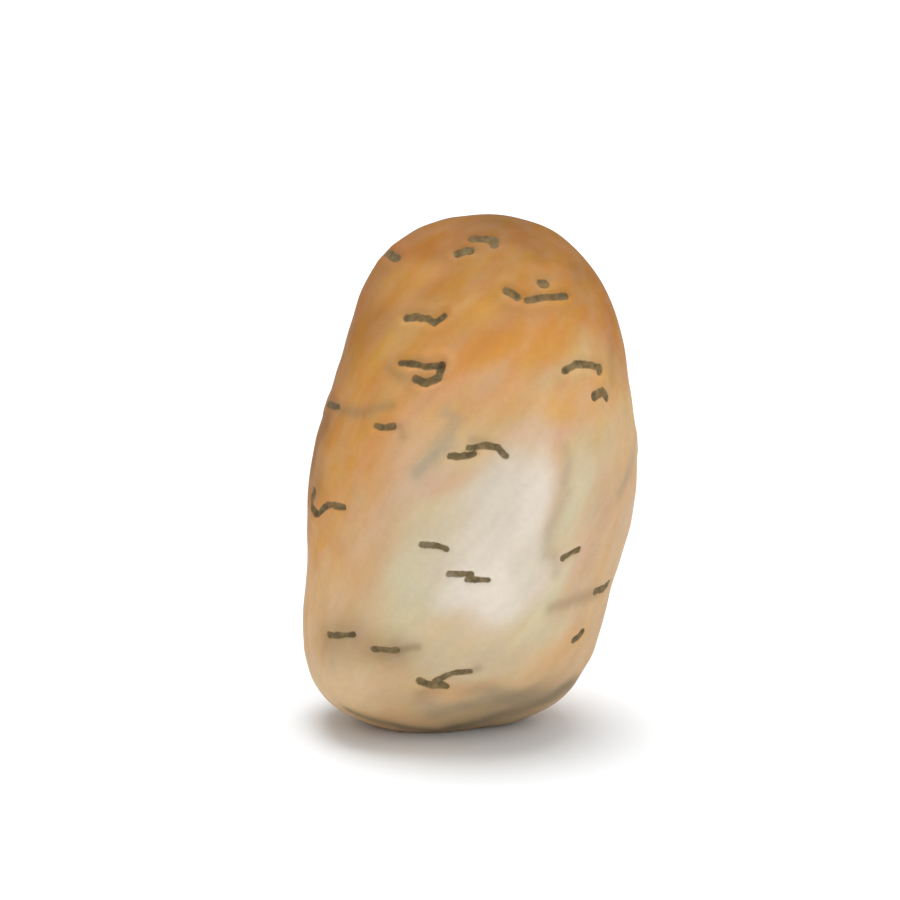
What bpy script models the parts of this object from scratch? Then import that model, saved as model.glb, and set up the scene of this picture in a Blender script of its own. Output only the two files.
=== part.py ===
"""A potato standing on its broad end, modelled as one closed solid.

A potato is a swollen piece of underground stem, so it is a single body: a rounded
mass with a few slow swellings, shallow eyes where shoots would start, and a small
flattened spot that it stands on.

The body is a formula of direction. Seen from the heart, a point inside the potato,
every direction has one distance to the skin: that of a blunt, slightly egg-shaped
ellipsoid, plus what the swellings add or take away. A coarse cube cage is carried
onto that skin, smoothed by a Subdivision Surface, and then cut by the resting spot
and by one shallow ellipsoid for each eye.

Frame: metres, +Z up, -Y is the front, +X is the right. The origin is on the floor
under the middle of the potato's box.
"""
import math
from typing import NamedTuple

import bmesh
import bpy
from mathutils import Matrix, Vector

MM = 0.001

# Body: a blunt ellipsoid around the heart.
HALF_WIDTH = 33.0 * MM
HALF_DEPTH = 29.0 * MM
CROWN_REACH = 52.3 * MM      # heart to the top
FOOT_REACH = 54.5 * MM       # heart to the round bottom, before it is flattened
HEART_HEIGHT = 52.5 * MM     # heart to the floor, so the foot loses about 2 mm
CROWN_BLUNTNESS = 2.0        # exponent: 2 is an ellipse
FOOT_BLUNTNESS = 2.35        # above 2 the end is squarer
BLEND_BAND = 0.6             # the two exponents meet over this much of the height
LEAN = 0.09                  # shift to the right for each unit of height

# Cage and smoothing.
CAGE_CUTS = 10               # cuts across each cube face: 11 cells a side
SMOOTHING_LEVELS = 1

# Eyes: how far each hollow reaches up and down, and in.
EYE_HALF_HEIGHT = 1.5 * MM
EYE_DEPTH = 0.9 * MM
EYE_SEGMENTS = 12
EYE_RINGS = 6

# Skin.
SKIN_COLOUR = (0.61, 0.38, 0.20, 1.0)
SKIN_ROUGHNESS = 0.75
SKIN_METALLIC = 0.0


class Swelling(NamedTuple):
    """A slow rise of the skin, or a hollow where the height is negative."""
    name: str
    azimuth: float    # degrees around the potato: 0 front, 90 right, 180 back
    elevation: float  # degrees above the heart's level
    spread: float     # degrees from its middle to where half of it is left
    height: float


class Eye(NamedTuple):
    """A shallow hollow where a shoot would start."""
    azimuth: float
    elevation: float
    length: float     # across the potato
    tilt: float       # degrees, right end up


SWELLINGS = (
    Swelling("front of the heel", -60, -52, 14, 5.4 * MM),
    Swelling("back of the heel", -100, -55, 14, 5.4 * MM),
    Swelling("left shoulder", -80, 68, 13, 4.5 * MM),
    Swelling("right shoulder", 80, 55, 12, 0.8 * MM),
    Swelling("right foot", 75, -61, 13, 2.6 * MM),
    Swelling("right temple", 85, 30, 16, -0.8 * MM),
    Swelling("left temple", -80, 22, 14, -0.4 * MM),
    Swelling("belly", 15, -14, 30, 1.2 * MM),
    Swelling("nape", 165, 48, 18, 1.2 * MM),
    Swelling("flat of the back", -170, 0, 30, -1.4 * MM),
    Swelling("hollow of the back", -140, -38, 15, -1.0 * MM),
)

FRONT_EYES = (
    Eye(-15, 74, 7 * MM, 0),
    Eye(12, 64, 4 * MM, -20),
    Eye(33, 61, 9 * MM, 4),
    Eye(-32, 56, 8 * MM, 5),
    Eye(-29, 43, 10 * MM, 0),
    Eye(46, 42, 9 * MM, 5),
    Eye(53, 32, 5 * MM, -15),
    Eye(-71, 26, 8 * MM, 0),
    Eye(-37, 24, 5 * MM, 0),
    Eye(1, 19, 10 * MM, 5),
    Eye(-62, -8, 9 * MM, 15),
    Eye(-13, -16, 5 * MM, -4),
    Eye(1, -26, 9 * MM, -6),
    Eye(41, -20, 5 * MM, 18),
    Eye(63, -35, 6 * MM, 15),
    Eye(-52, -44, 7 * MM, 0),
    Eye(-31, -48, 6 * MM, 0),
    Eye(-6, -56, 9 * MM, 12),
)

BACK_EYES = (
    Eye(95, 12, 8 * MM, 8),
    Eye(120, 50, 8 * MM, -6),
    Eye(140, -15, 9 * MM, 5),
    Eye(165, 22, 10 * MM, -4),
    Eye(-175, -45, 7 * MM, 10),
    Eye(-150, 60, 8 * MM, 6),
    Eye(-135, -8, 9 * MM, -8),
    Eye(-110, 35, 7 * MM, 5),
)


def direction(azimuth, elevation):
    """Unit vector at an azimuth and an elevation, both in degrees."""
    around = math.radians(azimuth)
    up = math.radians(elevation)
    level = math.cos(up)
    return Vector((level * math.sin(around), -level * math.cos(around), math.sin(up)))


def smooth_step(value):
    """0 below 0, 1 above 1, and an S-shaped rise between them."""
    value = min(max(value, 0.0), 1.0)
    return value * value * (3.0 - 2.0 * value)


def body_radius(towards):
    """Distance from the heart to the plain body.

    Level and upright parts of the direction are each divided by the body's reach that
    way, raised to the bluntness, and added: radius = (level^n + upright^n)^(-1/n).
    """
    reach = CROWN_REACH if towards.z > 0 else FOOT_REACH
    level = math.hypot(towards.x / HALF_WIDTH, towards.y / HALF_DEPTH)
    upright = abs(towards.z) / reach
    towards_foot = smooth_step(0.5 - 0.5 * towards.z / BLEND_BAND)
    bluntness = CROWN_BLUNTNESS + (FOOT_BLUNTNESS - CROWN_BLUNTNESS) * towards_foot
    return (level ** bluntness + upright ** bluntness) ** (-1.0 / bluntness)


def swelling_height(towards):
    """Sum of the swellings: each halves at its spread and fades like a bell curve."""
    total = 0.0
    for swelling in SWELLINGS:
        middle = direction(swelling.azimuth, swelling.elevation)
        away = math.degrees(towards.angle(middle)) / swelling.spread
        total += swelling.height * 0.5 ** (away * away)
    return total


def skin_point(towards):
    """The point of the skin in a direction from the heart, before the box is centred."""
    point = towards * (body_radius(towards) + swelling_height(towards))
    point.x += LEAN * point.z
    point.z += HEART_HEIGHT
    return point


def skin_axes(towards, tilt):
    """Eye axes at a skin point: along the eye, across it, and straight out of the skin.

    Two small steps over the skin, to the right and up, give its slope there. The level
    step is then turned by the tilt, so a positive tilt lifts the eye's right end.
    """
    step = 0.01
    rightward = Vector((0, 0, 1)).cross(towards).normalized()
    upward = towards.cross(rightward).normalized()
    here = skin_point(towards)
    along = skin_point((towards + step * rightward).normalized()) - here
    above = skin_point((towards + step * upward).normalized()) - here
    outward = along.cross(above).normalized()
    turned = Matrix.Rotation(math.radians(tilt), 3, outward) @ along.normalized()
    return turned, outward.cross(turned), outward


def spread_evenly(point):
    """Turn a cube point into a direction, with the cells about equally wide."""
    quarter = math.pi / 4
    return Vector([math.tan(quarter * part) for part in point]).normalized()


def box_middle(points):
    """Middle of the points' box in plan, at floor level."""
    points = list(points)
    middle = Vector((0, 0, 0))
    for axis in (0, 1):
        values = [point[axis] for point in points]
        middle[axis] = 0.5 * (min(values) + max(values))
    return middle


def build_cage():
    """Cut cube whose points are carried onto the skin, with its box centred."""
    cage = bmesh.new()
    bmesh.ops.create_cube(cage, size=2.0)
    bmesh.ops.subdivide_edges(cage, edges=cage.edges[:], cuts=CAGE_CUTS, use_grid_fill=True)
    for vertex in cage.verts:
        vertex.co = skin_point(spread_evenly(vertex.co))
    middle = box_middle(vertex.co for vertex in cage.verts)
    bmesh.ops.translate(cage, verts=cage.verts, vec=-middle)
    return cage, middle


def add_object(name, shape, collection):
    """Turn a bmesh into a smooth-shaded object in a collection."""
    mesh = bpy.data.meshes.new(name)
    shape.to_mesh(mesh)
    shape.free()
    mesh.shade_smooth()
    item = bpy.data.objects.new(name, mesh)
    collection.objects.link(item)
    return item


def add_collection(name):
    """New collection in the scene."""
    collection = bpy.data.collections.new(name)
    bpy.context.scene.collection.children.link(collection)
    return collection


def hide_cutter(cutter):
    """A cutter only shapes the potato, so it shows as wire and never renders."""
    cutter.display_type = 'WIRE'
    cutter.hide_render = True


def build_rest_cutter(collection):
    """Block below the floor: it flattens the foot into the resting spot."""
    side = 3.0 * HALF_WIDTH
    block = bmesh.new()
    place = Matrix.Translation((0, 0, -0.5 * side))
    bmesh.ops.create_cube(block, size=side, matrix=place)
    return add_object("rest_cutter", block, collection)


def build_eye_cutter(name, eye, middle, collection):
    """Flat ellipsoid centred on the skin: its inner half becomes the eye's hollow."""
    towards = direction(eye.azimuth, eye.elevation)
    along, up, out = skin_axes(towards, eye.tilt)
    turn = Matrix((along, up, out)).transposed().to_4x4()
    size = Matrix.Diagonal((0.5 * eye.length, EYE_HALF_HEIGHT, EYE_DEPTH, 1.0))
    place = Matrix.Translation(skin_point(towards) - middle) @ turn @ size
    hollow = bmesh.new()
    bmesh.ops.create_uvsphere(hollow, u_segments=EYE_SEGMENTS, v_segments=EYE_RINGS,
                              radius=1.0, matrix=place)
    return add_object(name, hollow, collection)


def cut(item, cutter):
    """Take a cutter's shape away from an object."""
    hide_cutter(cutter)
    boolean = item.modifiers.new(cutter.name, 'BOOLEAN')
    boolean.operation = 'DIFFERENCE'
    boolean.solver = 'EXACT'
    boolean.object = cutter


def skin_material():
    """Matt, dry, ochre skin."""
    material = bpy.data.materials.new("potato_skin")
    material.use_nodes = True
    shader = material.node_tree.nodes["Principled BSDF"]
    shader.inputs["Base Color"].default_value = SKIN_COLOUR
    shader.inputs["Roughness"].default_value = SKIN_ROUGHNESS
    shader.inputs["Metallic"].default_value = SKIN_METALLIC
    return material


def build_potato():
    """The potato: cage, smoothing, resting spot and eyes."""
    parts = add_collection("potato_parts")
    cutters = add_collection("cutters")
    cage, middle = build_cage()
    potato = add_object("potato", cage, parts)
    potato.data.materials.append(skin_material())
    smoothing = potato.modifiers.new("smoothing", 'SUBSURF')
    smoothing.levels = SMOOTHING_LEVELS
    smoothing.render_levels = SMOOTHING_LEVELS
    cut(potato, build_rest_cutter(cutters))
    for number, eye in enumerate(FRONT_EYES + BACK_EYES, start=1):
        cut(potato, build_eye_cutter(f"eye_cutter_{number:02d}", eye, middle, cutters))
    return potato


def main():
    """Empty the scene and build the potato."""
    for item in list(bpy.data.objects):
        bpy.data.objects.remove(item, do_unlink=True)
    build_potato()


main()
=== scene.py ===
# %% [markdown]
# # A potato standing on its blunt end
#
# A potato is one piece: a swollen stem that stores starch, wrapped in a thin corky
# skin. There is nothing to assemble, so everything that makes it look real happens on
# one surface: the slow lumps of the body, the eyes where shoots would start, fine
# creases, and a skin whose colour drifts from ochre to cream.
#
# The lesson loads the engineering model first. That model says how large the potato
# is and where it stands. It is plain, so a finer skin is made here in its place.

import math
from typing import NamedTuple

import bpy
import numpy as np
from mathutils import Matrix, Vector


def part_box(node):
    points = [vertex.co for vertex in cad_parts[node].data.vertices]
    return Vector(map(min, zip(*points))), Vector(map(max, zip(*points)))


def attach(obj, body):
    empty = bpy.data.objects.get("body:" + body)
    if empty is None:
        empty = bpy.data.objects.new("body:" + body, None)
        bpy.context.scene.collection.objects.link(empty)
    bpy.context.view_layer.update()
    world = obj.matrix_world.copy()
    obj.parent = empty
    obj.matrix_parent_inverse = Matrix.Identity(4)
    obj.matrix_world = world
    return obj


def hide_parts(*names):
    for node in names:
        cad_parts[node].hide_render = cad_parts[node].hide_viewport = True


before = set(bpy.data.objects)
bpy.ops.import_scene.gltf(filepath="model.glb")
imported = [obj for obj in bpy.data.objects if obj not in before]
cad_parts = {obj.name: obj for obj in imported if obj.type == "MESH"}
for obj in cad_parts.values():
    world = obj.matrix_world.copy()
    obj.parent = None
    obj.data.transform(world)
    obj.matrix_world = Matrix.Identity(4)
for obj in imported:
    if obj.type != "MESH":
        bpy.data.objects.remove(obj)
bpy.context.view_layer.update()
low, high = (np.array(corner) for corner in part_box("potato"))
WIDTH, DEPTH, HEIGHT = high - low
print(f"CAD potato: {WIDTH:.4f} x {DEPTH:.4f} x {HEIGHT:.4f} m")

# %% [markdown]
# ## Units
#
# The shape is worked out in millimetres for a potato 104.8 mm tall, and then carried
# into the frame. `MM` is one of those millimetres in metres, so a frame that is larger
# or smaller takes every lump and eye with it.

# %% Units
MODEL_HEIGHT = 104.8
MM = HEIGHT / MODEL_HEIGHT

# %% [markdown]
# ## A grid of directions
#
# A round body needs a grid with no pinched poles. A globe of meridians crowds its
# faces at both ends, and the foot and the crown are just where this potato is looked
# at. A cube whose six faces are cut into cells has no poles: each of its points is
# seen as a direction from the middle, and the faces share the points of their edges,
# so the skin is closed.

# %% Directions from a cut cube
CELLS = 127


def skin_grid(cells):
    """Directions through the points of a cut cube, and the quads between them.

    Each cube face is a grid of two parameters u and v that run over whole numbers.
    The tangent of evenly spaced angles from -45 to 45 degrees spreads the directions
    evenly. Points with the same whole-number label, along the cube's edges, are one.
    """
    u, v = np.meshgrid(np.arange(cells + 1), np.arange(cells + 1), indexing="ij")
    far, near = np.full_like(u, cells), np.zeros_like(u)
    faces = ((far, u, v), (near, v, u), (v, far, u), (u, near, v), (u, v, far), (v, u, near))
    labels = np.concatenate([np.stack(face, -1).reshape(-1, 3) for face in faces])
    at = u * (cells + 1) + v
    cell = np.stack((at[:-1, :-1], at[1:, :-1], at[1:, 1:], at[:-1, 1:]), -1).reshape(-1, 4)
    quads = np.concatenate([cell + number * at.size for number in range(len(faces))])
    labels, merged = np.unique(labels, axis=0, return_inverse=True)
    points = np.tan((labels / cells - 0.5) * math.pi / 2)
    return points / np.linalg.norm(points, axis=1)[:, None], merged.reshape(-1)[quads]


directions, quads = skin_grid(CELLS)
print(f"grid: {len(directions)} directions, {2 * len(quads)} triangles")

# %% [markdown]
# ## The body
#
# The body could be sculpted, or turned on an axis, but a turned shape is too regular
# and a sculpted one can't be changed by a number. Here it is a formula: from the heart
# of the potato every direction has one distance to the skin, that of an ellipsoid that
# is squarer towards the foot. Swellings and hollows are then added as soft bells, each
# at its own azimuth and elevation. Azimuth 0 is the front and 90 the right.

# %% The body's numbers, in millimetres and degrees
HALF_WIDTH = 33.0
HALF_DEPTH = 29.0
CROWN_REACH = 52.3
FOOT_REACH = 54.5
HEART_HEIGHT = 52.5
CROWN_BLUNTNESS = 2.0
FOOT_BLUNTNESS = 2.35
BLEND_BAND = 0.6
LEAN = 0.09

# Azimuth, elevation, spread to half height, height. The last three only trim the foot
# and the right side of this finer skin, so that the outline tucks in above the floor.
SWELLINGS = {
    "front of the heel": (-60, -52, 14, 5.4),
    "back of the heel": (-100, -55, 14, 5.4),
    "left shoulder": (-80, 68, 13, 4.5),
    "right shoulder": (80, 55, 12, 0.8),
    "right foot": (75, -61, 13, 2.6),
    "right temple": (85, 30, 16, -0.8),
    "left temple": (-80, 22, 14, -0.4),
    "belly": (15, -14, 30, 1.2),
    "nape": (165, 48, 18, 1.2),
    "flat of the back": (-170, 0, 30, -1.4),
    "hollow of the back": (-140, -38, 15, -1.0),
    "right of the foot": (38, -68, 12, -1.7),
    "left of the foot": (-56, -66, 11, -0.7),
    "right flank": (86, -36, 15, -0.8),
}


# %% The body's formula
def toward(azimuth, elevation):
    """Unit vectors at azimuths and elevations in degrees."""
    around, up = np.radians(azimuth), np.radians(elevation)
    return np.stack((np.sin(around) * np.cos(up), -np.cos(around) * np.cos(up), np.sin(up)), -1)


def smooth_step(value):
    """0 below 0, 1 above 1, and an S-shaped rise between them."""
    value = np.clip(value, 0.0, 1.0)
    return value * value * (3.0 - 2.0 * value)


def degrees_from(rays, azimuth, elevation):
    """Angle in degrees between each ray and one direction."""
    return np.degrees(np.arccos(np.clip(rays @ toward(azimuth, elevation), -1.0, 1.0)))


def body_points(rays):
    """Points of the plain body along rays from the heart, before it is placed.

    radius = (level^n + upright^n)^(-1/n), where level and upright are the ray's parts
    over the reach that way and n, the bluntness, grows from crown to foot. Each
    swelling adds height / 2^((angle / spread)^2). Then the body leans to the right.
    """
    reach = np.where(rays[:, 2] > 0, CROWN_REACH, FOOT_REACH)
    level = np.hypot(rays[:, 0] / HALF_WIDTH, rays[:, 1] / HALF_DEPTH)
    footward = smooth_step(0.5 - 0.5 * rays[:, 2] / BLEND_BAND)
    blunt = CROWN_BLUNTNESS + (FOOT_BLUNTNESS - CROWN_BLUNTNESS) * footward
    radius = (level ** blunt + (np.abs(rays[:, 2]) / reach) ** blunt) ** (-1.0 / blunt)
    for azimuth, elevation, spread, height in SWELLINGS.values():
        radius = radius + height * 0.5 ** ((degrees_from(rays, azimuth, elevation) / spread) ** 2)
    points = rays * radius[:, None]
    points[:, 0] += LEAN * points[:, 2]
    points[:, 2] += HEART_HEIGHT
    return points


# %% [markdown]
# ## Into the frame
#
# The plain body is centred and stretched, by well under one part in a hundred, so that
# its box is the CAD potato's box. The bottom of the box is the floor, and what the
# formula puts below it is where the resting spot will be.

# %% Fit the body to the CAD box
plain = body_points(directions)
plain_low, plain_high = plain.min(0), plain.max(0)
plain_low[2] = 0.0
FIT_SCALE = (high - low) / (plain_high - plain_low)
print("fit scale against", MM, ":", FIT_SCALE)


def skin_points(rays):
    """Points of the body in metres, in the frame, along rays from the heart."""
    return low + (body_points(rays) - plain_low) * FIT_SCALE


surface = skin_points(directions)

# %% [markdown]
# ## Slow unevenness
#
# No potato is as even as a formula. A sum of many weak waves that cross the body in
# random directions gives lumps with no visible pattern. The waves are drawn from a
# seeded generator, so every run grows the same potato.

# %% Waves
def waves(points, length, count, seed):
    """Sum of cosine waves of about one length, in all directions, scaled to about 1."""
    draw = np.random.default_rng(seed)
    ways = draw.normal(size=(count, 3))
    ways /= np.linalg.norm(ways, axis=1)[:, None]
    ways *= 2 * math.pi / (length * draw.uniform(0.75, 1.35, count))[:, None]
    phases = draw.uniform(0, 2 * math.pi, count)
    return np.cos(points @ ways.T + phases).sum(1) * math.sqrt(2.0 / count)


def outward_normals(points, corners):
    """Unit normals at the points: the crossed diagonals of the quads round each one."""
    a, b, c, d = (points[corners[:, side]] for side in range(4))
    across = np.cross(c - a, d - b)
    total = np.zeros_like(points)
    for side in range(4):
        for axis in range(3):
            total[:, axis] += np.bincount(corners[:, side], across[:, axis], len(points))
    return total / np.linalg.norm(total, axis=1)[:, None]


LUMP_HEIGHT, LUMP_LENGTH = 0.30 * MM, 30 * MM
RIPPLE_HEIGHT, RIPPLE_LENGTH = 0.05 * MM, 7 * MM
normals = outward_normals(surface, quads)
relief = LUMP_HEIGHT * waves(surface, LUMP_LENGTH, 24, seed=3)
relief += RIPPLE_HEIGHT * waves(surface, RIPPLE_LENGTH, 40, seed=4)
print(f"lumps: {relief.min() / MM:.2f} to {relief.max() / MM:.2f} mm")

# %% [markdown]
# ## Eyes
#
# An eye is a short scar where a leaf scale was, with buds that would become shoots. It
# is a shallow groove, often with a bar like an eyebrow over it. Each one is drawn as a
# short line of directions, azimuth and elevation. The groove could be a modelled cut,
# but a height taken from the distance to the line keeps one clean surface.

# %% Where the eyes are
class Eye(NamedTuple):
    """A line of (azimuth, elevation) points, its half width and depth, and its shade."""
    line: tuple
    half_width: float = 0.62
    depth: float = 0.45
    shade: float = 0.0


FRONT_EYES = (
    Eye(((-84, 64.6), (-75, 65), (-66, 65.2)), half_width=0.9),
    Eye(((-23, 76.6), (-12, 77.3), (-2, 77.2), (-2, 76)), half_width=0.95),
    Eye(((-28.5, 72.2), (-25, 73.3), (-20.5, 73.6)), half_width=0.9),
    Eye(((30.3, 65.8), (33, 65.7)), half_width=1.0),
    Eye(((8.4, 65), (10.5, 64.5), (14, 63.3)), half_width=0.85),
    Eye(((19.6, 62.3), (28, 62.6), (36, 62.1), (44, 61.8)), half_width=0.7),
    Eye(((-43, 55.8), (-38, 56.7), (-32, 57), (-28, 56.6), (-24, 58.4)), half_width=0.72),
    Eye(((-39, 45.3), (-33, 45.7), (-27, 45.6), (-20, 46.6)), depth=0.75),
    Eye(((-30, 41.8), (-25, 41.3), (-20, 43.2), (-20, 46.6)), 0.78, 0.65),
    Eye(((34.6, 43.5), (41, 44.8), (48, 43.6), (55.5, 42), (54, 40.8)), half_width=0.7),
    Eye(((49, 34.5), (54.5, 35), (57, 33)), half_width=0.95),
    Eye(((-85, 26), (-68, 28))),
    Eye(((-43, 26), (-39, 26), (-35, 27))),
    Eye(((-11, 19), (-7, 19), (-2, 20))),
    Eye(((-4, 22), (2, 23), (7, 22), (10, 19))),
    Eye(((-75, -3), (-76.5, -6), (-76, -8.5), (-73, -10)), half_width=1.0),
    Eye(((-73, -10), (-70, -9.8), (-67.5, -8), (-65, -6), (-61, -4.8), (-54, -4.5)), 0.66),
    Eye(((-18, -14), (-14, -14), (-9, -15))),
    Eye(((-7, -24), (1, -24), (0, -26), (8, -26))),
    Eye(((37, -20), (40, -19), (44, -18))),
    Eye(((62, -34.4), (69, -34.6), (74, -33.8)), half_width=0.8),
    Eye(((54.5, -46.8), (56.8, -46.4), (58.5, -45.1)), half_width=0.85),
    Eye(((-56, -42), (-50, -42), (-44, -42)), shade=1.0),
    Eye(((-36, -46), (-31, -46.7), (-26.5, -47.3)), shade=1.0),
    Eye(((-17.5, -56.4), (-12, -58), (-5, -58.6)), half_width=0.9),
    Eye(((-10, -56.8), (-5, -55.5), (0, -54.5), (5.5, -54.4)), half_width=0.68),
)

BACK_EYES = (
    Eye(((89, 12), (95, 13), (102, 12))),
    Eye(((112, 50), (116, 50.9), (121, 50.8), (127, 49.6))),
    Eye(((134, -16), (140, -15), (147, -16)), shade=0.6),
    Eye(((156, 22), (160, 23.4), (165, 24), (170, 23.2), (174, 21.6)), depth=0.75),
    Eye(((156, 13), (162, 12), (167, 13))),
    Eye(((178, -45), (182, -45.8), (187, -46), (192, -45.2))),
    Eye(((203, 60), (212, 61), (219, 60))),
    Eye(((217, -8), (221, -8.8), (226, -9), (231, -8.2))),
    Eye(((244, 36), (248, 36.8), (252, 36.8), (256, 35.8))),
    Eye(((106, -42), (110, -42.7), (114, -42.8), (119, -42)), shade=0.8),
    Eye(((150, 74), (172, 75), (190, 73))),
)
EYES = FRONT_EYES + BACK_EYES


# %% Distance to a line on the skin
LINE_STEPS = 12
SHADE_REACH = 3.2    # millimetres from an eye's line to where half its shade is left


def line_on_skin(line):
    """Points every short way along a line of (azimuth, elevation) corners, on the skin."""
    corners = np.array(line, dtype=float)
    place = np.linspace(0, len(corners) - 1, LINE_STEPS * (len(corners) - 1) + 1)
    at = [np.interp(place, np.arange(len(corners)), corners[:, part]) for part in (0, 1)]
    return skin_points(toward(*at))


def distance_to_line(points, line):
    """Distance in millimetres from each point to the nearest straight bit of the line."""
    path = line_on_skin(line)
    nearest = np.full(len(points), np.inf)
    for start, end in zip(path[:-1], path[1:]):
        bit = end - start
        along = np.clip((points - start) @ bit / (bit @ bit), 0.0, 1.0)
        away = points - start - along[:, None] * bit
        nearest = np.minimum(nearest, np.einsum("ij,ij->i", away, away))
    return np.sqrt(nearest) / MM


def bell(distance, width):
    """1 at no distance, and half at one width."""
    return 0.5 ** ((distance / width) ** 2)


# %% Grooves and rims, in millimetres
RIM_HEIGHT = 0.16
RIM_PLACE = 1.9
RIM_WIDTH = 0.8
FAR_AWAY = 10.0
mark_edge = np.full(len(surface), FAR_AWAY)
eye_shade = np.zeros(len(surface))
for eye in EYES:
    away = distance_to_line(surface, eye.line)
    relief -= eye.depth * MM * bell(away, eye.half_width)
    relief += RIM_HEIGHT * MM * bell(away - RIM_PLACE, RIM_WIDTH)
    mark_edge = np.minimum(mark_edge, away - eye.half_width)
    eye_shade = np.maximum(eye_shade, eye.shade * bell(away, SHADE_REACH))
print(f"eyes: {len(EYES)}, deepest {relief.min() / MM:.2f} mm")

# %% [markdown]
# ## Creases
#
# Rubs, scratches and the seams between slow swellings leave faint soft lines. They are
# drawn like the eyes, but they hardly dent the skin: what shows is the tone laid along
# them. Along the shade lines that tone is painted shade, as in a crease. Round the foot it
# is the painted shade of the underside near the floor, and the grey lines lay on a
# greyer tone.

# %% Creases
class Crease(NamedTuple):
    """A soft line of (azimuth, elevation) points, its tone, half width and strength."""
    line: tuple
    tone: str
    half_width: float
    strength: float


CREASES = (
    # Lines with the shade tone are painted shade along creases and seams.
    Crease(((-42, 43), (-37, 42), (-31, 41)), "shade", 1.2, 0.35),
    Crease(((-76, 27), (-68, 27), (-50, 29), (-38, 33)), "shade", 1.1, 0.45),
    Crease(((-35, 26), (-32, 27), (-30, 24)), "shade", 0.8, 0.3),
    Crease(((-3, 25), (4, 23)), "shade", 0.8, 0.3),
    Crease(((36, -36), (47, -35), (62, -35)), "shade", 1.3, 0.4),
    Crease(((-26, -47), (-18, -47)), "shade", 0.7, 0.55),
    Crease(((6, -54), (9, -53)), "shade", 0.7, 0.4),
    Crease(((-18, -60), (-9, -59)), "shade", 1.2, 0.3),
    Crease(((-14, 33), (-10, 31), (-17, 21), (-23, 12)), "grey", 1.3, 0.4),
    Crease(((-11, 24), (-22, 13)), "grey", 1.0, 0.45),
    Crease(((33, 20), (35, 16), (33, 8)), "grey", 1.0, 0.35),
    Crease(((35, 4), (29, -8), (29, -18)), "grey", 1.1, 0.35),
    Crease(((33, -19), (35, -25)), "grey", 1.0, 0.35),
    Crease(((68, 48), (61, 36)), "shade", 1.2, 0.2),
    Crease(((77, 13), (70, 5), (64, -1)), "grey", 1.3, 0.5),
    # The three lines round the foot are painted shade: the dark band where the underside curves
    # in towards the floor.
    Crease(((-58, -62), (-46, -69), (-34, -74), (-12, -78), (10, -77)), "underside_shade", 1.5, 0.8),
    Crease(((10, -77), (28, -74), (44, -69), (58, -64), (66, -59)), "underside_shade", 2.1, 0.7),
    Crease(((66, -59), (80, -57), (96, -58)), "underside_shade", 2.1, 0.35),
    Crease(((100, -8), (109, -9.6), (118, -10.3), (127, -10)), "shade", 1.2, 0.35),
    Crease(((150, 40), (160, 34), (163, 26)), "grey", 1.2, 0.35),
    Crease(((196, 30), (190, 16), (194, 4)), "grey", 1.4, 0.35),
    Crease(((227, -27), (236, -29.3), (246, -30.3), (256, -30)), "shade", 1.2, 0.35),
    Crease(((246, 12), (256, 18), (262, 28)), "grey", 1.2, 0.3),
)
CREASE_DEPTH = 0.10
creases = [distance_to_line(surface, crease.line) for crease in CREASES]
for crease, away in zip(CREASES, creases):
    relief -= CREASE_DEPTH * MM * bell(away, crease.half_width)
print(f"creases: {len(CREASES)}")

# %% [markdown]
# ## The resting spot
#
# Where a potato stands it is pressed a little flat. Cutting it off would leave a hard
# rim, so the heights near the floor are bent towards it instead: the smooth maximum of
# the height and the floor, which is flat in the middle and curves up at its edge.

# %% Flatten the foot
SPOT_BLEND = 0.35 * MM


def settle(heights, floor, blend):
    """Smooth maximum of height and floor: (h + sqrt(h^2 + blend^2)) / 2 above the floor."""
    above = heights - floor
    return floor + 0.5 * (above + np.sqrt(above * above + blend * blend))


surface = surface + normals * relief[:, None]
surface[:, 2] = settle(surface[:, 2], low[2], SPOT_BLEND)
surface[:, 2] += low[2] - surface[:, 2].min()
print(f"lowest skin point: {surface[:, 2].min():.5f} m")

# %% [markdown]
# ## One closed mesh
#
# The points and quads become one mesh in the place of the CAD potato. It also carries
# the distance to the nearest eye mark's edge, for the material to read, because a dark
# scar a millimetre wide needs a firmer edge than the mesh's own cells could give it.

# %% Make the mesh
def skin_mesh(name, points, corners):
    """A smooth-shaded mesh from arrays of points and quads."""
    mesh = bpy.data.meshes.new(name)
    mesh.from_pydata(points, [], corners)
    mesh.shade_smooth()
    return mesh


def add_attribute(mesh, name, kind, part, values):
    """Store a number or a colour for each point of the mesh, for the material to read."""
    stored = mesh.attributes.new(name, kind, 'POINT')
    stored.data.foreach_set(part, values.astype(np.float32).ravel())


mesh = skin_mesh("potato_skin", surface, quads)
add_attribute(mesh, "mark_edge", 'FLOAT', "value", mark_edge)
skin = bpy.data.objects.new("potato_skin", mesh)
bpy.context.scene.collection.objects.link(skin)
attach(skin, "root")
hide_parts("potato")
print(f"skin: {len(mesh.polygons)} quads")

# %% [markdown]
# ## Painting the skin
#
# The skin's colour drifts slowly: ochre and brown on the crown, orange on the left
# flank, cream on the belly, sandy at the foot. Part of this is painted light: the brown
# on the crown and down the edges is partly painted shade, the cream in the middle of the
# belly is partly a painted highlight, and the dark band round the foot is painted shade
# where the underside nears the floor. Noise alone can't place a pale belly, and a painted
# picture would have to be unwrapped. So the colour is laid on as soft patches, like dabs
# of a sponge. Each patch is an ellipse around one direction, and each pulls what is under
# it towards one tone, so the last ones laid show most.

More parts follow.
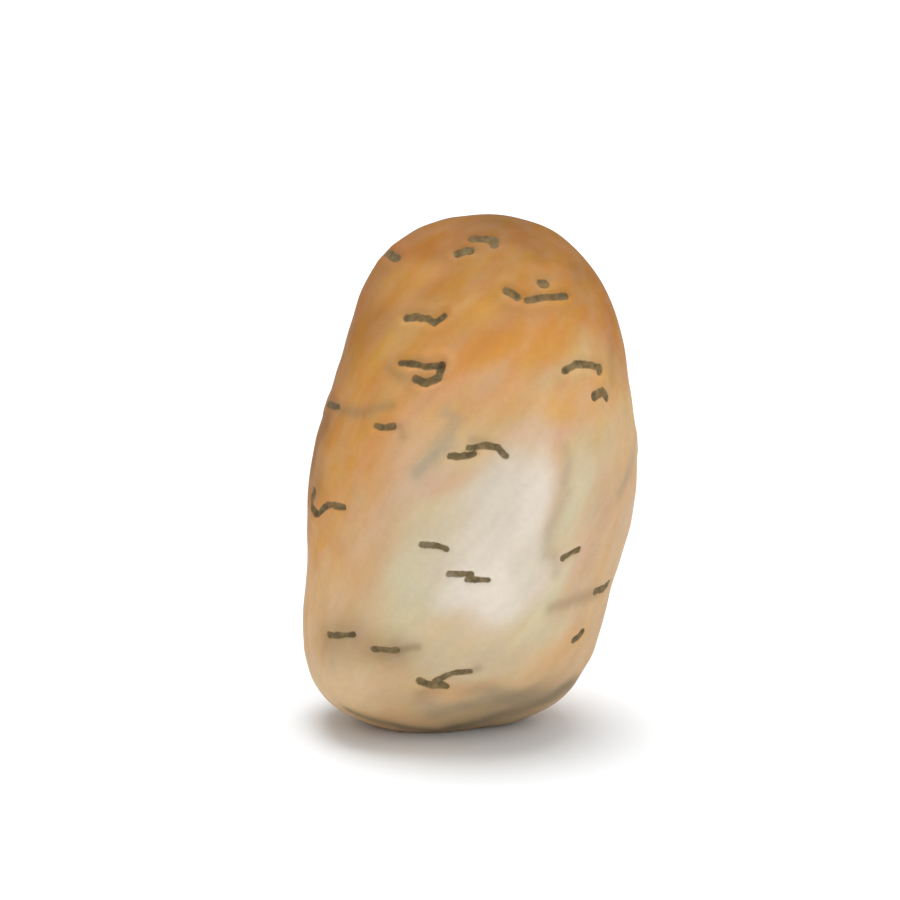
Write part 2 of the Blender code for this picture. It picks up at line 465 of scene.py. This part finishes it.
# %% Tones
TONES = {
    "peach": (209, 171, 128),
    "tan": (210, 160, 101),
    "orange": (204, 143, 76),
    "ochre": (192, 137, 72),
    "honey": (198, 150, 83),
    "brown": (126, 84, 38),
    "rust": (164, 104, 50),
    "sand": (196, 166, 118),
    "pink": (206, 166, 138),
    "rose": (194, 163, 130),
    "sage": (204, 193, 159),
    "straw": (213, 186, 148),
    "cream": (213, 201, 183),
    "pale": (226, 214, 197),
    "dust": (199, 167, 127),
    # smudges of soil near the foot, and painted shade on the underside next to the floor
    "soil_and_shade": (146, 130, 104),
    # painted shade of the underside where it curves in towards the floor
    "underside_shade": (127, 112, 88),
    "shade": (134, 112, 78),
    "grey": (158, 146, 124),
}


def linear(tone):
    """The light a tone sends back, from its 0 to 255 screen values."""
    screen = np.array(tone) / 255.0
    return np.where(screen <= 0.04045, screen / 12.92, ((screen + 0.055) / 1.055) ** 2.4)


# %% Patches
class Patch(NamedTuple):
    """An elliptic dab: a tone around (azimuth, elevation), its half sizes in degrees.

    The turn lifts its right end. At flatness 1 it is a bell, and above 1 it has a
    level middle and a firmer edge.
    """
    tone: str
    azimuth: float
    elevation: float
    half_width: float
    half_height: float
    turn: float = 0.0
    strength: float = 0.8
    flatness: float = 1.5


# The wide patches are laid on first, and then the smaller ones of each part.
WIDE = (
    Patch("rose", 62, -10, 26, 60, 0, 0.9),
    Patch("dust", -30, -72, 60, 24, 0, 0.9),
    Patch("dust", -85, -45, 20, 30, 0, 0.7),
    Patch("tan", 0, 60, 80, 34, -6, 0.6, 2),
    Patch("tan", -62, 0, 16, 60, 0, 0.8),
    Patch("orange", -76, 0, 14, 34, 0, 0.5, 1),
    Patch("orange", -58, 22, 22, 24, -20, 0.95),
    Patch("orange", 0, 90, 47, 47, 0, 0.95, 3),
    Patch("orange", 75, 44, 16, 12, 0, 0.85),
    Patch("orange", -70, -25, 6, 20, -6, 0.5, 1),
    Patch("ochre", 0, 90, 36, 36, 0, 0.95, 2),
    Patch("ochre", -66, 50, 20, 16, -30, 0.8, 1),
)

# The brown on the crown and down the left and right edges, and the rust at azimuths -82 and 74,
# are partly the skin's own russet and partly painted shade, darker where the outline turns away.
CROWN = (
    Patch("brown", 0, 90, 18, 18, 0, 0.95, 1),
    Patch("brown", 90, 66, 20, 12, 0, 0.45, 1),
    Patch("brown", 88, 50, 12, 24, 0, 0.45, 1),
    Patch("brown", -87, 50, 16, 25, 0, 0.75, 1),
    Patch("brown", -82, 6, 9, 14, 0, 0.8, 1),
    Patch("rust", -55, 71, 11, 6, 30, 0.6, 1),
    Patch("rust", -32, 64, 7.5, 4, 40, 0.9),
    Patch("rust", -72, 53, 9, 5, -20, 0.7, 1),
    Patch("honey", -50, 63, 8, 3.5, 30, 0.7),
    Patch("honey", -12, 61, 5, 3, 50, 0.6),
    Patch("honey", -50, 46, 3.5, 13, -25, 0.6, 1),
    Patch("honey", 12, 69, 20, 4, -6, 0.25, 1),
    Patch("honey", -9, 58, 7, 2.2, 45, 0.5, 1),
    Patch("orange", 20, 52, 26, 5, 12, 0.5, 1),
    Patch("brown", -78, 22, 9, 9, 0, 0.7),
    Patch("shade", -28, 44, 5, 1.6, 0, 0.35),
    Patch("brown", -68, 42, 6, 18, -15, 0.3, 1),
    Patch("orange", -60, 40, 8, 16, -15, 0.4, 1),
    Patch("sand", 75, 30, 12, 10, 0, 0.6, 1),
    Patch("rust", -82, 0, 7, 18, 0, 0.4, 1),
    Patch("rust", 74, 46, 10, 12, 0, 0.45),
    Patch("sand", 44, 49, 9, 4, 10, 0.5),
)

BELLY = (
    Patch("pink", -4, 42, 12, 4, 12, 0.35),
    Patch("sand", 36, 43, 14, 4.5, 8, 0.75),
    Patch("tan", 25, 34, 16, 4.5, 4, 0.7),
    Patch("sand", 2, 29, 16, 4, 6, 0.6),
    Patch("pink", 24, 26, 16, 4, -4, 0.6),
    Patch("sage", 50, 17, 10, 8, 0, 0.4),
    Patch("sand", 50, 22, 12, 5, 0, 0.6),
    Patch("sage", 2, -16, 26, 33, 0, 0.75, 1.8),
    Patch("pink", -27, 2, 5, 16, -20, 0.3, 1),
    Patch("sage", -22, -32, 11, 14, 0, 0.85),
    Patch("rose", 52, -6, 4, 20, 0, 0.6, 1),
    # The cream and pale patches round the middle of the belly are partly paler skin and partly a
    # painted highlight.
    Patch("cream", 13, 1, 17, 18.5, 0, 0.95, 2),
    Patch("cream", 9, -24, 19, 15, 0, 0.85, 2),
    Patch("pink", -12, 11, 9, 4.5, 20, 0.7),
    Patch("pale", 6, -30, 11.5, 10, 0, 1.0, 2),
    Patch("pale", 22, 2, 6, 20, 0, 0.75),
    Patch("pale", 6, -14, 12, 8, 30, 0.5),
    Patch("sage", 41, -2, 6, 19, 0, 0.85),
    Patch("sage", 32, -36, 4, 12, -30, 0.8),
    Patch("straw", 3, -43, 22, 5, 0, 0.4),
    Patch("cream", 27, -20, 6, 11, 0, 0.6),
    Patch("sage", 16, -52, 16, 4.5, 8, 0.8),
    Patch("sage", 28, -48, 11, 6, 30, 0.7),
    Patch("pink", 46, -18, 3, 12, 0, 0.5, 1),
    Patch("tan", 62, -25, 5, 18, 0, 0.35, 1),
)

FOOT = (
    Patch("straw", -62, -38, 14, 11, 0, 0.35),
    Patch("straw", -62, -55, 14, 8, 0, 0.7),
    Patch("rose", 12, -51, 16, 4, 8, 0.5),
    Patch("tan", 46, -50, 11, 4, 20, 0.5),
    Patch("tan", 5, -59, 10, 2.5, 0, 0.5, 1),
    Patch("soil_and_shade", 48, -63, 18, 3, 6, 0.7),
    Patch("soil_and_shade", 18, -66, 16, 3, 8, 0.55),
    # Painted shade: the underside below the dark foot line is darkened as if it lay in the
    # floor's shadow.
    Patch("soil_and_shade", 60, -78, 15, 12, 0, 0.55, 2),
    Patch("shade", -32, -50, 6, 3.5, 0, 0.35, 1),
    Patch("shade", -51, -44.5, 7, 4, 0, 0.25, 1),
)

BACK = (
    Patch("tan", 140, 20, 30, 24, 20, 0.6),
    Patch("orange", 116, 34, 20, 14, 30, 0.6, 1),
    Patch("sage", 200, -22, 24, 22, 0, 0.7, 1.8),
    Patch("cream", 205, -20, 14, 13, 20, 0.5, 2),
    Patch("sand", 170, -38, 26, 12, 10, 0.6),
    Patch("tan", 240, -20, 18, 22, -20, 0.6),
    Patch("rust", 160, 52, 12, 5, 30, 0.5, 1),
    Patch("pink", 222, 12, 14, 10, 20, 0.5),
    Patch("soil_and_shade", 200, -68, 40, 4, 0, 0.4),
)
PATCHES = WIDE + CROWN + BELLY + FOOT + BACK


def cover(rays, patch):
    """How much of a patch lies on each ray.

    The ray's angle from the patch's middle is split into a part along the patch and a
    part across it. Cover is strength / 2^(((along/width)^2 + (across/height)^2)^flat).
    """
    middle = toward(patch.azimuth, patch.elevation)
    east = toward(patch.azimuth + 90.0, 0.0)
    north = np.cross(east, -middle)
    away = degrees_from(rays, patch.azimuth, patch.elevation)
    bearing = np.arctan2(rays @ north, rays @ east) - math.radians(patch.turn)
    along = away * np.cos(bearing) / patch.half_width
    across = away * np.sin(bearing) / patch.half_height
    return patch.strength * 0.5 ** ((along ** 2 + across ** 2) ** patch.flatness)


# %% [markdown]
# The edges of a growing potato's patches are never clean ellipses. Before the patches
# are looked up, each direction is pushed aside a little by waves, longer along a slant
# than across it, so the edges fray the way brushed or rubbed skin does.

# %% Paint
SLANT = 50.0         # degrees, right end up
STRETCH = 3.5
FRAY_LENGTH = 9 * MM
FRAY = 0.020         # how far a direction is pushed, as a part of its length
EYE_SHADE = 0.35


def stretched(points):
    """Points squeezed along the slant, so that waves over them come out longer there."""
    slant = toward(90.0, SLANT)
    return points - np.outer(points @ slant, slant) * (1.0 - 1.0 / STRETCH)


def paint(rays, points):
    """Colour at each point: the base tone, pulled in turn by every patch and line."""
    push = [waves(stretched(points), FRAY_LENGTH, 30, seed) for seed in (11, 12, 13)]
    frayed = rays + FRAY * np.stack(push, -1)
    frayed /= np.linalg.norm(frayed, axis=1)[:, None]
    layers = [(patch.tone, cover(frayed, patch)) for patch in PATCHES]
    layers += [(crease.tone, crease.strength * bell(away, crease.half_width))
               for crease, away in zip(CREASES, creases)]
    layers.append(("shade", eye_shade * EYE_SHADE))
    colour = np.tile(linear(TONES["peach"]), (len(points), 1))
    for tone, share in layers:
        colour += (linear(TONES[tone]) - colour) * share[:, None]
    return colour


colour = paint(directions, surface)
with_alpha = np.c_[colour, np.ones(len(colour))]
add_attribute(mesh, "skin_tone", 'FLOAT_COLOR', "color", with_alpha)
print(f"patches: {len(PATCHES)}, darkest {colour.min():.3f}, palest {colour.max():.3f}")

# %% [markdown]
# ## The skin's material
#
# The painted tone is only the start. The material reads it and adds what is too fine
# for the mesh: slanting strokes that are a little lighter or warmer, mottling, corky
# pores, the eyes' dark scar, a roughness that wanders, and a fine bump. All patterns
# use Object coordinates in millimetres, so they sit in the potato and don't slide.

# %% Node helpers
def add(tree, kind, inputs=None, **settings):
    """Add a node, with settings, and with values or links for its inputs."""
    node = tree.nodes.new(kind)
    for name, value in settings.items():
        setattr(node, name, value)
    for name, value in (inputs or {}).items():
        if isinstance(value, bpy.types.NodeSocket):
            tree.links.new(value, node.inputs[name])
        else:
            node.inputs[name].default_value = value
    return node


def noise(tree, place, length, detail=2.0):
    """Cloudy values around 0.5, with lumps of about one length in millimetres."""
    inputs = {"Vector": place, "Scale": 1.0 / length, "Detail": detail}
    return add(tree, "ShaderNodeTexNoise", inputs).outputs["Fac"]


def remap(tree, value, start, end, new_start, new_end):
    """A smooth ramp from one range of values to another."""
    inputs = {"Value": value, "From Min": start, "From Max": end,
              "To Min": new_start, "To Max": new_end}
    node = add(tree, "ShaderNodeMapRange", inputs, interpolation_type='SMOOTHSTEP')
    return node.outputs["Result"]


def calculate(tree, operation, first, second):
    """One sum of two numbers or sockets."""
    return add(tree, "ShaderNodeMath", {0: first, 1: second}, operation=operation).outputs[0]


def mix_colours(tree, share, under, over):
    """The under colour where the share is 0, and the over colour where it is 1."""
    node = add(tree, "ShaderNodeMix", {0: share, 6: under, 7: over}, data_type='RGBA')
    return node.outputs[2]


def attribute(tree, name):
    """The node that reads one of the mesh's attributes."""
    return add(tree, "ShaderNodeAttribute", attribute_name=name)


def opaque(tone):
    """A tone as a node colour."""
    return (*linear(tone), 1.0)


# %% Strokes, mottling, pores and scars, with lengths in millimetres
NOISE_RANGE = (0.3, 0.7)    # where most values of a noise lie
STROKE_LENGTH = 3.4
MOTTLE_LENGTH = 1.3
HUE_LENGTH = 5.0
SATURATION_LENGTH = 4.2
PORE_TONE = (150, 108, 66)
PORE_SPACING = 2.8
PORE_EDGE = (0.10, 0.05)
PORE_STRENGTH = 0.16
EYE_DARK = (96, 81, 52)
EYE_LIGHT = (120, 103, 70)
SCAR_EDGE = (0.20, -0.16)
SCAR_FRAY = 0.15
FRAY_STEP = 1.9
WEAR_LENGTH = 2.4


def brushed_tone(tree, place, slanted, tone):
    """The painted tone, a little lighter, warmer or greyer along slanting strokes."""
    strokes = remap(tree, noise(tree, slanted, STROKE_LENGTH, 4.0), *NOISE_RANGE, 0.965, 1.03)
    mottles = remap(tree, noise(tree, place, MOTTLE_LENGTH, 3.0), *NOISE_RANGE, 0.98, 1.02)
    hue = remap(tree, noise(tree, slanted, HUE_LENGTH), *NOISE_RANGE, 0.495, 0.505)
    saturation = remap(tree, noise(tree, slanted, SATURATION_LENGTH), *NOISE_RANGE, 0.95, 1.05)
    inputs = {"Hue": hue, "Saturation": saturation, "Color": tone,
              "Value": calculate(tree, 'MULTIPLY', strokes, mottles)}
    return add(tree, "ShaderNodeHueSaturation", inputs).outputs["Color"]


def pores(tree, place):
    """Small corky spots: near the middle of a few cells of a Voronoi pattern."""
    cells = add(tree, "ShaderNodeTexVoronoi", {"Vector": place, "Scale": 1 / PORE_SPACING})
    spot = remap(tree, cells.outputs["Distance"], *PORE_EDGE, 0.0, 1.0)
    draw = add(tree, "ShaderNodeSeparateColor", {"Color": cells.outputs["Color"]})
    chosen = remap(tree, draw.outputs["Red"], 0.45, 0.75, 0.0, 1.0)
    return calculate(tree, 'MULTIPLY', spot, chosen)


def scars(tree, place):
    """The eyes' scars: where the distance to an eye's line, frayed by noise, is inside."""
    fray = remap(tree, noise(tree, place, FRAY_STEP), 0.25, 0.75, -SCAR_FRAY, SCAR_FRAY)
    edge = calculate(tree, 'ADD', attribute(tree, "mark_edge").outputs["Fac"], fray)
    inside = remap(tree, edge, *SCAR_EDGE, 0.0, 1.0)
    worn = remap(tree, noise(tree, place, WEAR_LENGTH), 0.3, 0.6, 0.80, 1.0)
    return calculate(tree, 'MULTIPLY', inside, worn)


# %% Material
SHEEN = 0.2
ROUGHNESS = (0.60, 0.76)
ROUGH_LENGTH = 5.0
SCAR_ROUGHNESS = 0.12
GRAIN_LENGTH = 0.6
GRAIN_DEPTH = 0.06 * MM
GRAIN_STRENGTH = 0.6
PORE_RISE = 0.5
DAB_LENGTH = 1.0
STROKE_STRETCH = 4


def skin_material():
    """Dry, matt potato skin."""
    material = bpy.data.materials.new("potato_skin")
    material.use_nodes = True
    tree = material.node_tree
    shader = tree.nodes["Principled BSDF"]
    shader.inputs["Specular IOR Level"].default_value = SHEEN
    here = add(tree, "ShaderNodeTexCoord").outputs["Object"]
    place = add(tree, "ShaderNodeMapping", {"Vector": here, "Scale": (1 / MM,) * 3}).outputs[0]
    turned = {"Vector": here, "Rotation": (0, -math.radians(SLANT), 0),
              "Scale": (STROKE_STRETCH * MM, MM, MM)}
    slanted = add(tree, "ShaderNodeMapping", turned, vector_type='TEXTURE').outputs[0]
    tone = brushed_tone(tree, place, slanted, attribute(tree, "skin_tone").outputs["Color"])
    spots, scar = pores(tree, place), scars(tree, place)
    faint = calculate(tree, 'MULTIPLY', spots, PORE_STRENGTH)
    tone = mix_colours(tree, faint, tone, opaque(PORE_TONE))
    dabs = remap(tree, noise(tree, place, DAB_LENGTH, 3.0), 0.35, 0.65, 0.0, 1.0)
    scar_tone = mix_colours(tree, dabs, opaque(EYE_DARK), opaque(EYE_LIGHT))
    tree.links.new(mix_colours(tree, scar, tone, scar_tone), shader.inputs["Base Color"])
    rough = remap(tree, noise(tree, place, ROUGH_LENGTH, 4.0), *NOISE_RANGE, *ROUGHNESS)
    rougher = calculate(tree, 'MULTIPLY', scar, SCAR_ROUGHNESS)
    tree.links.new(calculate(tree, 'ADD', rough, rougher), shader.inputs["Roughness"])
    raised = calculate(tree, 'MULTIPLY', spots, PORE_RISE)
    grain = calculate(tree, 'ADD', noise(tree, place, GRAIN_LENGTH, 4.0), raised)
    grit = {"Height": grain, "Distance": GRAIN_DEPTH, "Strength": GRAIN_STRENGTH}
    bump = add(tree, "ShaderNodeBump", grit)
    tree.links.new(bump.outputs["Normal"], shader.inputs["Normal"])
    return material


mesh.materials.append(skin_material())
print(f"material nodes: {len(mesh.materials[0].node_tree.nodes)}")

# %% [markdown]
# ## Floor
#
# The potato stands on a plain pale floor. A curved studio backdrop would do, but a flat
# floor that runs far beyond the picture meets the white sky at the same brightness, so
# no edge or band shows behind the potato from any side.

# %% Floor
FLOOR_SIZE = 10000 * HEIGHT
bpy.ops.mesh.primitive_plane_add(size=FLOOR_SIZE, location=(0, 0, low[2]))
floor = bpy.context.object
floor.name = "floor"
floor_material = bpy.data.materials.new("floor")
floor_material.use_nodes = True
floor_shader = floor_material.node_tree.nodes["Principled BSDF"]
floor_shader.inputs["Base Color"].default_value = (0.89, 0.92, 0.95, 1)
floor_shader.inputs["Roughness"].default_value = 0.9
floor.data.materials.append(floor_material)
print(f"floor at {low[2]:.4f} m")

# %% [markdown]
# ## Light
#
# Soft studio light leaves no hard shadow. A pale sky fills in from all round. One wide
# lamp from almost straight above gives the dark, soft-edged patch of shadow where the
# potato touches the floor, and a weaker one from the front and right lifts the belly.
# Both are suns, because a sun's light doesn't fade with distance: the floor stays even.
# The sky is dimmer than white to the potato, but the camera sees it as plain white.

# %% Light
SKY_STRENGTH = 0.54


def aim(item, target):
    """Turn a lamp or a camera so that it looks at a point."""
    way = Vector(target) - item.location
    item.rotation_euler = way.to_track_quat('-Z', 'Y').to_euler()


def add_sun(name, azimuth, elevation, strength, spread):
    """A wide soft lamp in a direction given by azimuth and elevation, in degrees."""
    data = bpy.data.lights.new(name, 'SUN')
    data.energy = strength
    data.angle = math.radians(spread)
    lamp = bpy.data.objects.new(name, data)
    lamp.location = 5 * HEIGHT * toward(azimuth, elevation)
    aim(lamp, (0, 0, 0))
    bpy.context.scene.collection.objects.link(lamp)


world = bpy.data.worlds.new("studio")
bpy.context.scene.world = world
world.use_nodes = True
world.node_tree.nodes["Background"].inputs["Color"].default_value = (1, 1, 1, 1)
seen = add(world.node_tree, "ShaderNodeLightPath").outputs["Is Camera Ray"]
strength = calculate(world.node_tree, 'MAXIMUM', seen, SKY_STRENGTH)
world.node_tree.links.new(strength, world.node_tree.nodes["Background"].inputs["Strength"])
add_sun("front_light", azimuth=45, elevation=35, strength=0.65, spread=70)
add_sun("top_light", azimuth=195, elevation=84, strength=2.3, spread=42)
print(f"lights: sky {SKY_STRENGTH} and two suns")

# %% [markdown]
# ## Camera
#
# A long lens from a few heights away keeps the potato's proportions natural. It looks
# down a little, so the crown shows and the foot hides the spot it stands on. It aims a
# little to the left, which sets the potato right of the middle, with room all round.

# %% Camera
CAMERA_ELEVATION = 12.0
CAMERA_DISTANCE = 4.084 * HEIGHT
CAMERA_TARGET = np.array((-0.0305, 0.0, 0.5468)) * HEIGHT
camera_data = bpy.data.cameras.new("camera")
camera_data.lens = 85
camera_data.sensor_width = 36
camera = bpy.data.objects.new("camera", camera_data)
camera.location = CAMERA_TARGET + CAMERA_DISTANCE * toward(0, CAMERA_ELEVATION)
aim(camera, CAMERA_TARGET)
bpy.context.scene.collection.objects.link(camera)
bpy.context.scene.camera = camera
bpy.context.scene.view_settings.view_transform = 'Standard'
print(f"camera {CAMERA_DISTANCE:.3f} m away, looking {CAMERA_ELEVATION:.0f} degrees down")
